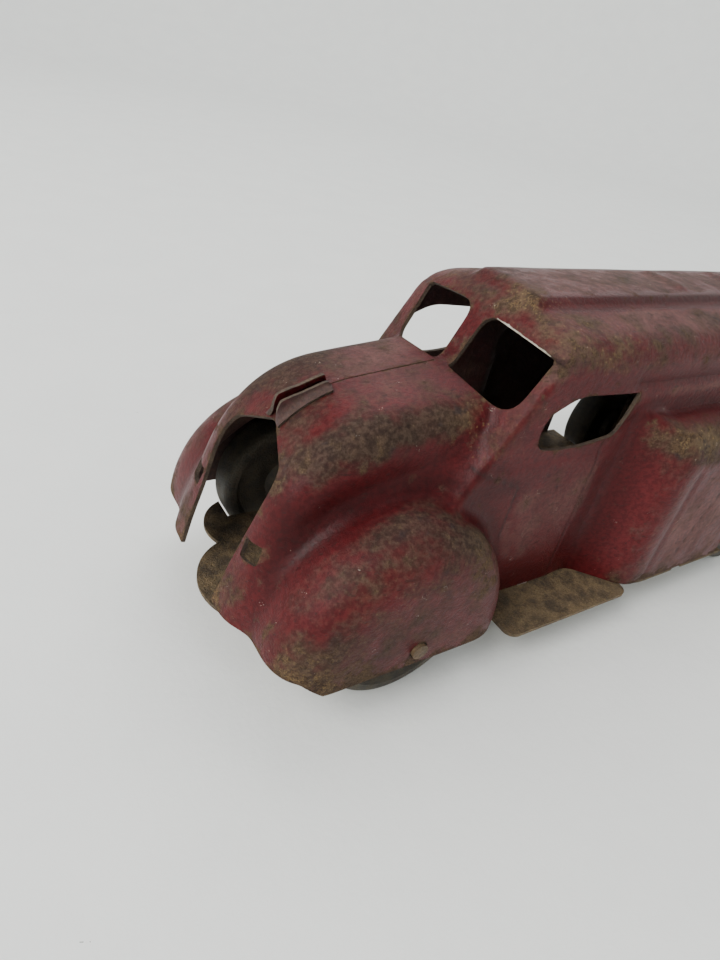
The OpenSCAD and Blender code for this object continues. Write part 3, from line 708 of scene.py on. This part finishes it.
paintLook = {
    # the first colour on the next line is the painted shade colour
    "paintedShade": (.026, .0018, .0024, 1), "red": (.064, .0066, .0080, 1), "brightRed": (.090, .0112, .0132, 1),
    "chalk": (.138, .066, .059, 1), "duskyChalk": (.086, .031, .030, 1), "grimeDark": (.014, .0092, .0066, 1),
    "grime": (.038, .0245, .0170, 1), "grimePale": (.086, .062, .042, 1), "blueGrey": (.020, .019, .020, 1),
    "fleck": (.020, .0085, .0080, 1), "crumb": (.50, .45, .38, 1), "gold": (.200, .138, .058, 1),
    "goldDust": (.160, .118, .060, 1), "redDust": (.070, .028, .023, 1), "line": (.016, .006, .006, 1),
    "glossRoughness": .30, "chalkRoughness": .55, "filmRoughness": .62, "rustRoughness": .82, "specular": .14,
}


def buildWornPaint():
    material, tree, shader, position = newMaterial("wornRedPaint")
    p = paintLook
    broad = blotches(tree, position, 13.0, 5.0, .34, .66)
    dirt = blotches(tree, position, 5.5, 10.0, .28, .72)
    patch = blotches(tree, position, 2.6, 8.0, .34, .66)
    small = blotches(tree, position, .9, 6.0, .36, .64)
    grain = blotches(tree, position, .26, 3.0, .34, .66)
    swell, ridge = mark(tree, "swell"), mark(tree, "ridge")
    facing = put(tree, "ShaderNodeSeparateXYZ", {0: put(tree, "ShaderNodeTexCoord").outputs["Normal"]}).outputs
    upward = spread(tree, facing["Z"], .2, .95)
    centredDirt = maths(tree, "SUBTRACT", dirt, .5)
    centredPatch = maths(tree, "SUBTRACT", patch, .5)
    # lighter red: partly random tone, partly painted highlight from the highlight spots
    toneAndHighlightAmount = maths(tree, "ADD", scaledBy(tree, broad, .45), mark(tree, "paintedHighlight"), clamp=True)
    colour = blendColour(tree, toneAndHighlightAmount, p["red"], p["brightRed"])
    # painted shade: the shade spots, and every hollow at about half strength, darken the red towards deep maroon
    paintedShadeAmount = maths(tree, "MAXIMUM", mark(tree, "paintedShade"), scaledBy(tree, mark(tree, "concaveShade"), .55))
    colour = blendColour(tree, scaledBy(tree, paintedShadeAmount, .95), colour, p["paintedShade"])
    # chalky oxidised film, rubbed away in places and kept off the painted shade
    chalk = added(tree, scaledBy(tree, mark(tree, "chalk"), .95), scaledBy(tree, upward, .22),
                  scaledBy(tree, centredDirt, .7), scaledBy(tree, centredPatch, .25), scaledBy(tree, paintedShadeAmount, -1.4))
    chalk = spread(tree, chalk, .12, .95)
    chalkTone = blendColour(tree, broad, p["duskyChalk"], p["chalk"])
    colour = blendColour(tree, scaledBy(tree, chalk, .9), colour, chalkTone)
    # dark flecks that lean like brush strokes
    lean = {"Vector": position, "Rotation": (0, math.radians(-34), 0), "Scale": (.5, 1.5, 1.9)}
    leaned = put(tree, "ShaderNodeMapping", lean).outputs[0]
    flecks = blotches(tree, leaned, 1.15, 4.0, .60, .68)
    colour = blendColour(tree, scaledBy(tree, flecks, .6), colour, p["fleck"])
    # brown grime film, kept off the painted shade, then rust
    film = added(tree, scaledBy(tree, mark(tree, "grime"), .92), scaledBy(tree, swell, .16),
                 scaledBy(tree, upward, .16), scaledBy(tree, centredDirt, .72), scaledBy(tree, centredPatch, .34),
                 scaledBy(tree, small, .14), scaledBy(tree, paintedShadeAmount, -1.15))
    film = spread(tree, film, .04, 1.06)
    filmTone = blendColour(tree, dirt, p["grimeDark"], p["grime"])
    filmTone = blendColour(tree, scaledBy(tree, small, .34), filmTone, p["grimePale"])
    filmTone = blendColour(tree, scaledBy(tree, mark(tree, "gold"), .6), filmTone, p["goldDust"])
    filmTone = blendColour(tree, scaledBy(tree, broad, .35), filmTone, p["redDust"])
    blue = blotches(tree, position, 3.4, 3.0, .56, .70)
    filmTone = blendColour(tree, scaledBy(tree, blue, .7), filmTone, p["blueGrey"])
    filmTone = blendColour(tree, scaledBy(tree, grain, .24), filmTone, p["grimeDark"])
    colour = blendColour(tree, scaledBy(tree, film, .93), colour, filmTone)
    rusted = added(tree, scaledBy(tree, mark(tree, "rust"), .8), scaledBy(tree, ridge, .34),
                   scaledBy(tree, mark(tree, "rimNear"), .55), scaledBy(tree, mark(tree, "lowEdge"), .3),
                   scaledBy(tree, centredDirt, .7), scaledBy(tree, centredPatch, .6))
    rusted = spread(tree, rusted, .38, .78)
    rust = grouped(tree, rustBody, None, Position=position, Gold=maths(tree, "ADD", .2, mark(tree, "gold")))
    colour = blendColour(tree, scaledBy(tree, rusted, .9), colour, rust["Colour"])
    # golden lichen-like flecks inside the dirt
    lichen = grouped(tree, crumbs, Position=position, Spacing=.62, Radius=.30, Share=.34)
    goldShare = maths(tree, "ADD", scaledBy(tree, film, .12), scaledBy(tree, mark(tree, "gold"), .8), clamp=True)
    goldAmount = scaledBy(tree, lichen, goldShare)
    colour = blendColour(tree, scaledBy(tree, goldAmount, small), colour, p["gold"])
    colour = blendColour(tree, scaledBy(tree, mark(tree, "line"), .8), colour, p["line"])
    scratches = grouped(tree, fibres, Position=position, Size=9.0, Thinness=.0022, Cover=.45)
    colour = blendColour(tree, scaledBy(tree, scratches, .5), colour, p["fleck"])
    specks = grouped(tree, crumbs, Position=position, Spacing=3.6, Radius=.05, Share=.5)
    colour = blendColour(tree, specks, colour, p["crumb"])
    mottle = blendColour(tree, small, (.74, .74, .74, 1), (1.16, 1.13, 1.10, 1))
    colour = blendColour(tree, 1.0, colour, mottle, "MULTIPLY")
    tree.links.new(colour, shader.inputs["Base Color"])
    rough = blendValue(tree, chalk, p["glossRoughness"], p["chalkRoughness"])
    rough = blendValue(tree, film, rough, p["filmRoughness"])
    rough = blendValue(tree, rusted, rough, p["rustRoughness"])
    tree.links.new(maths(tree, "ADD", rough, scaledBy(tree, grain, .08)), shader.inputs["Roughness"])
    shader.inputs["Specular IOR Level"].default_value = p["specular"]
    height = scaledBy(tree, rusted, maths(tree, "ADD", .25, scaledBy(tree, rust["Height"], .8)))
    height = added(tree, height, scaledBy(tree, small, .25), scaledBy(tree, grain, .15),
                   scaledBy(tree, scaledBy(tree, film, patch), .45), scaledBy(tree, flecks, -.15),
                   scaledBy(tree, specks, 1.2), scaledBy(tree, goldAmount, .3))
    heightToNormal(tree, shader, height, .6, .00016)
    return material


def buildRusted(name, dark, pale, tint, gold, roughness, size=5.0, bumpDepth=.00016):
    material, tree, shader, position = newMaterial(name)
    broad = blotches(tree, position, size, 6.0, .35, .65)
    fine = blotches(tree, position, .34, 3.0, .36, .66)
    rust = grouped(tree, rustBody, None, Position=position, Gold=gold)
    colour = blendColour(tree, broad, dark, pale)
    colour = blendColour(tree, tint, colour, rust["Colour"])
    colour = blendColour(tree, scaledBy(tree, fine, .35), colour, dark)
    tree.links.new(colour, shader.inputs["Base Color"])
    tree.links.new(maths(tree, "ADD", roughness, scaledBy(tree, fine, .12)), shader.inputs["Roughness"])
    heightToNormal(tree, shader, maths(tree, "ADD", rust["Height"], scaledBy(tree, broad, .6)), .6, bumpDepth)
    return material


def buildInterior():
    material, tree, shader, position = newMaterial("innerRedPaint")
    patch = blotches(tree, position, 7.0, 6.0, .4, .64)
    small = blotches(tree, position, .8, 4.0, .4, .64)
    rust = grouped(tree, rustBody, None, Position=position, Gold=.25)
    colour = blendColour(tree, small, (.026, .0048, .0052, 1), (.050, .0105, .0110, 1))
    colour = blendColour(tree, scaledBy(tree, patch, .5), colour, rust["Colour"])
    tree.links.new(colour, shader.inputs["Base Color"])
    tree.links.new(spread(tree, patch, 0, 1, .5, .8), shader.inputs["Roughness"])
    heightToNormal(tree, shader, small, .4, .0001)
    return material


wornPaint = buildWornPaint()
innerPaint = buildInterior()
cutEdge = buildRusted("cutSheetEdge", (.030, .019, .013, 1), (.088, .058, .040, 1), .55, .5, .72, 3.0)
plateRust = buildRusted("plateRust", (.038, .026, .013, 1), (.215, .146, .068, 1), .45, .9, .8, 3.4, .0003)
axleSteel = buildRusted("axleSteel", (.060, .038, .018, 1), (.150, .085, .030, 1), .35, .7, .6, 3.0)
gearBrass = buildRusted("gearBrass", (.180, .120, .050, 1), (.330, .230, .095, 1), .15, .5, .42, 4.0, .00005)
flywheelSteel = buildRusted("flywheelSteel", (.120, .110, .100, 1), (.230, .215, .200, 1), .2, .3, .45, 4.0, .00006)
print("materials built")


def buildWheelRubber():
    material, tree, shader, position = newMaterial("dustyWheel")
    dust = blotches(tree, position, 3.2, 6.0, .38, .62)
    fine = blotches(tree, position, .4, 3.0, .4, .62)
    rust = grouped(tree, rustBody, None, Position=position, Gold=.3)
    colour = blendColour(tree, dust, (.026, .023, .017, 1), (.070, .061, .043, 1))
    colour = blendColour(tree, scaledBy(tree, fine, .4), colour, rust["Colour"])
    tree.links.new(colour, shader.inputs["Base Color"])
    tree.links.new(spread(tree, dust, 0, 1, .62, .85), shader.inputs["Roughness"])
    heightToNormal(tree, shader, maths(tree, "ADD", fine, dust), .5, .00012)
    return material


wheelRubber = buildWheelRubber()

# Pieces
bodyShell = buildShell([wornPaint, innerPaint, cutEdge])
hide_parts("body_shell")
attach(bodyShell, "chassis")
print("body shell:", len(bodyShell.data.polygons), "faces")


finShape = {
    "from": 7.8, "to": 17.1, "stations": 34,
    "rise": [(7.8, 0.05), (8.2, 1.35), (9, 1.5), (11, 1.6), (13, 1.95), (15.2, 2.9), (16.6, 3.6), (17.0, 3.3),
             (17.1, 2.6)],
    "across": [(2.3, -.35), (1.7, -.04), (1.2, .16), (.8, .38), (.6, .62), (.52, .84), (.5, 1.0)],
    "sheet": 0.62, "farRise": 0.55,
}


def hoodTopAt(u, y):
    o = np.array([[u, y, 30.0]])
    return 30.0 + meetForm(o, np.array([[0.0, 0.0, 1.0]]), farthest=40.0)[0]


def buildFin(side):
    f = finShape
    count = f["stations"]
    us, rises = zip(*f["rise"])
    points = []
    across = f["across"]
    for i in range(count):
        u = f["from"] + (f["to"] - f["from"]) * i / (count - 1)
        height = float(np.interp(u, us, rises)) + (f["farRise"] if side < 0 else 0)
        for y, share in across:
            base = hoodTopAt(u, y)
            lift = height * share if share > 0 else share * .5
            points.append((u + frontX, side * y, base + lift + .02))
    width = len(across)
    points = np.array(points)
    faces = []
    for i in range(count - 1):
        for k in range(width - 1):
            ring = [i * width + k, (i + 1) * width + k, (i + 1) * width + k + 1, i * width + k + 1]
            faces.append(ring if side > 0 else ring[::-1])
    normals = np.zeros(points.shape)
    for face in faces:
        a, b, c, d = (points[i] for i in face)
        n = np.cross(c - a, d - b)
        for i in face:
            normals[i] += n
    normals /= np.linalg.norm(normals, axis=1, keepdims=True) + 1e-9
    thick, allFaces, index = thickSheet(points, faces, normals, f["sheet"])
    marks = {k: np.zeros(len(thick)) for k in ("ridge", "swell", "concaveShade", "rimNear", "lowEdge", "line", *wearAndLightSpots)}
    top = np.tile(np.array([s for y, s in across]), count)
    marks["rimNear"] = np.tile(np.clip(top - .75, 0, 1) * 4, 2)
    # painted shade on the fin's flanks
    marks["paintedShade"] = np.tile(np.where((top > .2) & (top < .95), .55, .1), 2)
    name = "hoodFin" + ("Left" if side > 0 else "Right")
    piece = meshObject(name, thick, allFaces, [wornPaint, innerPaint, cutEdge], index, marks)
    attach(piece, "chassis")


buildFin(1)
buildFin(-1)


chipStrip = {
    "from": 4.6, "to": 17.6, "stations": 60, "seed": 5, "width": (.02, .34), "thickness": .1,
    "edge": 12.0, "edgeFall": .6, "edgeStart": 2.1, "edgeLength": 16.8,
}


def buildChipStrip():
    # Bare filler left along the upper edge of the left windshield opening.
    c = chipStrip
    rng = np.random.default_rng(c["seed"])
    slope = math.atan(bodyForm["glassSlope"])
    points, faces = [], []
    wobble = np.convolve(rng.uniform(0, 1, c["stations"] + 4), np.ones(3) / 3, "valid")
    for i in range(c["stations"]):
        t = i / (c["stations"] - 1)
        y = c["from"] + (c["to"] - c["from"]) * t
        edge = c["edge"] - c["edgeFall"] * (y - c["edgeStart"]) / c["edgeLength"]
        narrow, wide = c["width"]
        width = (narrow + (wide - narrow) * wobble[i] ** 1.5) * min(1, 7 * t + .1, 7 * (1 - t) + .1)
        section = ((edge - .12, -.45), (edge - .12, .0), (edge + width * .5, c["thickness"] * .7),
                   (edge + width, .02), (edge + width, -.2))
        for along, lift in section:
            u0 = bodyForm["glassFoot"] - along * math.sin(slope)
            z0 = bodyForm["glassDatum"] + along * math.cos(slope)
            out = np.array([math.cos(slope), 0, math.sin(slope)])
            start = np.array([[u0, y, z0]]) - out * 6
            reach = meetForm(start, out[None], farthest=14.0)[0]
            points.append(start[0] + out * (reach + lift) + [frontX, 0, 0])
    for i in range(c["stations"] - 1):
        for k in range(4):
            faces.append([i * 5 + k, (i + 1) * 5 + k, (i + 1) * 5 + k + 1, i * 5 + k + 1])
    piece = meshObject("windshieldFiller", np.array(points), faces, [fillerCrust])
    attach(piece, "chassis")


fillerCrust = buildRusted("fillerCrust", (.30, .27, .21, 1), (.52, .49, .42, 1), .12, .3, .8, 1.2, .0001)
buildChipStrip()

axleEnd = {"radius": 1.56, "dome": .14, "steps": 28}


def buildAxleEnd(side):
    a = axleEnd
    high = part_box("front_axle")[1].y / mm
    radius, dome = a["radius"], a["dome"]
    profile = [(radius, -.25), (radius, .0), (radius * .9, .6 * dome), (radius * .6, .9 * dome), (.02, dome)]
    points, faces = [], []
    for r, out in profile:
        for k in range(a["steps"]):
            t = 2 * math.pi * k / a["steps"]
            points.append((frontX + r * math.cos(t), side * (high - .05 + out), axleZ + r * math.sin(t)))
    n = a["steps"]
    for i in range(len(profile) - 1):
        for k in range(n):
            ring = [i * n + k, i * n + (k + 1) % n, (i + 1) * n + (k + 1) % n, (i + 1) * n + k]
            faces.append(ring[::-1] if side > 0 else ring)
    piece = meshObject("axleEnd" + ("Left" if side > 0 else "Right"), np.array(points), faces, [axleSteel])
    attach(piece, "chassis")


buildAxleEnd(1)
buildAxleEnd(-1)


carried = {
    "base_plate": plateRust, "drive_frame_left": plateRust, "drive_frame_right": plateRust,
    "frame_rivets": axleSteel, "frame_pillars": axleSteel, "front_axle": axleSteel, "rear_axle": axleSteel,
    "idler_shaft": axleSteel, "flywheel_shaft": axleSteel,
    "axle_gear": gearBrass, "idler_gear": gearBrass, "idler_pinion": gearBrass, "flywheel_pinion": gearBrass,
    "flywheel_left": flywheelSteel, "flywheel_right": flywheelSteel,
    "front_wheel_left": wheelRubber, "front_wheel_right": wheelRubber,
    "rear_wheel_left": wheelRubber, "rear_wheel_right": wheelRubber,
}
for node, material in carried.items():
    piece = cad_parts[node]
    piece.data.materials.clear()
    piece.data.materials.append(material)
print("pieces built")


# Floor, light and camera
studio = {
    "floorColour": (.86, .87, .85, 1), "floorTint": (.79, .80, .79, 1), "floorRadius": 1.0, "innerRadius": .25,
    "coveRadius": .45, "wallTop": 1.5, "steps": 96,
    "skyColour": (.94, .97, 1.0, 1), "skyStrength": .55,
    "keyPower": 15.0, "keySize": .7, "keyPlace": (.95, .10, .85), "keyColour": (1.0, .985, .96),
    "glintPower": 1.6, "glintSize": .1, "glintPlace": (.85, .46, .62),
    "fillPower": 9.0, "fillSize": 1.2, "fillPlace": (-.5, -.6, 1.25),
}


def buildFloor():
    g = studio
    steps, cove = g["steps"], g["coveRadius"]
    profile = [(0.0, 0.0), (g["innerRadius"], 0.0), (g["floorRadius"], 0.0)]
    profile += [(g["floorRadius"] + cove * math.sin(t), cove * (1 - math.cos(t)))
                for t in np.linspace(.12, math.pi / 2, 10)]
    profile.append((g["floorRadius"] + cove, g["wallTop"]))
    points = [(0.0, 0.0, 0.0)]
    faces = []
    for r, z in profile[1:]:
        turns = [2 * math.pi * k / steps for k in range(steps)]
        points += [(r * math.cos(t), r * math.sin(t), z) for t in turns]
    for k in range(steps):
        n = (k + 1) % steps
        faces.append((0, 1 + k, 1 + n))
        for ring in range(len(profile) - 2):
            a, b = 1 + ring * steps, 1 + (ring + 1) * steps
            faces.append((a + k, b + k, b + n, a + n))
    mesh = bpy.data.meshes.new("floorSheet")
    mesh.from_pydata(points, [], faces)
    mesh.polygons.foreach_set("use_smooth", np.full(len(mesh.polygons), True))
    floor = bpy.data.objects.new("floorSheet", mesh)
    bpy.context.scene.collection.objects.link(floor)
    material, tree, shader, position = newMaterial("palePaper")
    soft = blotches(tree, position, 26.0, 6.0, .3, .7)
    colour = blendColour(tree, scaledBy(tree, soft, .35), g["floorColour"], g["floorTint"])
    dust = grouped(tree, crumbs, Position=position, Spacing=34.0, Radius=.013, Share=.35)
    colour = blendColour(tree, scaledBy(tree, dust, .8), colour, (.07, .06, .05, 1))
    tree.links.new(colour, shader.inputs["Base Color"])
    shader.inputs["Roughness"].default_value = .75
    shader.inputs["Specular IOR Level"].default_value = .2
    heightToNormal(tree, shader, blotches(tree, position, 6.0, 7.0, .2, .8), .2, .0003)
    mesh.materials.append(material)


def addArea(name, place, size, power, colour=(1, 1, 1), target=(0, 0, .02)):
    light = bpy.data.lights.new(name, "AREA")
    light.shape = "DISK"
    light.size = size
    light.energy = power
    light.color = colour
    lamp = bpy.data.objects.new(name, light)
    lamp.location = place
    lamp.rotation_euler = (Vector(target) - Vector(place)).to_track_quat("-Z", "Y").to_euler()
    bpy.context.scene.collection.objects.link(lamp)


buildFloor()
addArea("glintLight", studio["glintPlace"], studio["glintSize"], studio["glintPower"])
addArea("keyLight", studio["keyPlace"], studio["keySize"], studio["keyPower"], studio["keyColour"])
addArea("fillLight", studio["fillPlace"], studio["fillSize"], studio["fillPower"])
world = bpy.data.worlds.new("paleRoom")
world.use_nodes = True
world.node_tree.nodes["Background"].inputs["Color"].default_value = studio["skyColour"]
world.node_tree.nodes["Background"].inputs["Strength"].default_value = studio["skyStrength"]
bpy.context.scene.world = world


cameraView = {
    "place": (62.7, 84.48, 100.0), "focal": 24.32,
    "right": (-.84196, .50610, .18700), "down": (.15519, .55911, -.81444),
    "ahead": (-.51674, -.65671, -.54929),
}


def buildCamera():
    c = cameraView
    data = bpy.data.cameras.new("viewCamera")
    data.lens = c["focal"]
    data.sensor_width = 36.0
    data.clip_start = .005
    camera = bpy.data.objects.new("viewCamera", data)
    right, up, back = Vector(c["right"]), -Vector(c["down"]), -Vector(c["ahead"])
    turn = Matrix((right, up, back)).transposed().to_4x4()
    place = Vector((c["place"][0] + frontX, c["place"][1], c["place"][2])) * mm
    camera.matrix_world = Matrix.Translation(place) @ turn
    bpy.context.scene.collection.objects.link(camera)
    bpy.context.scene.camera = camera


buildCamera()
print("stage and camera set")
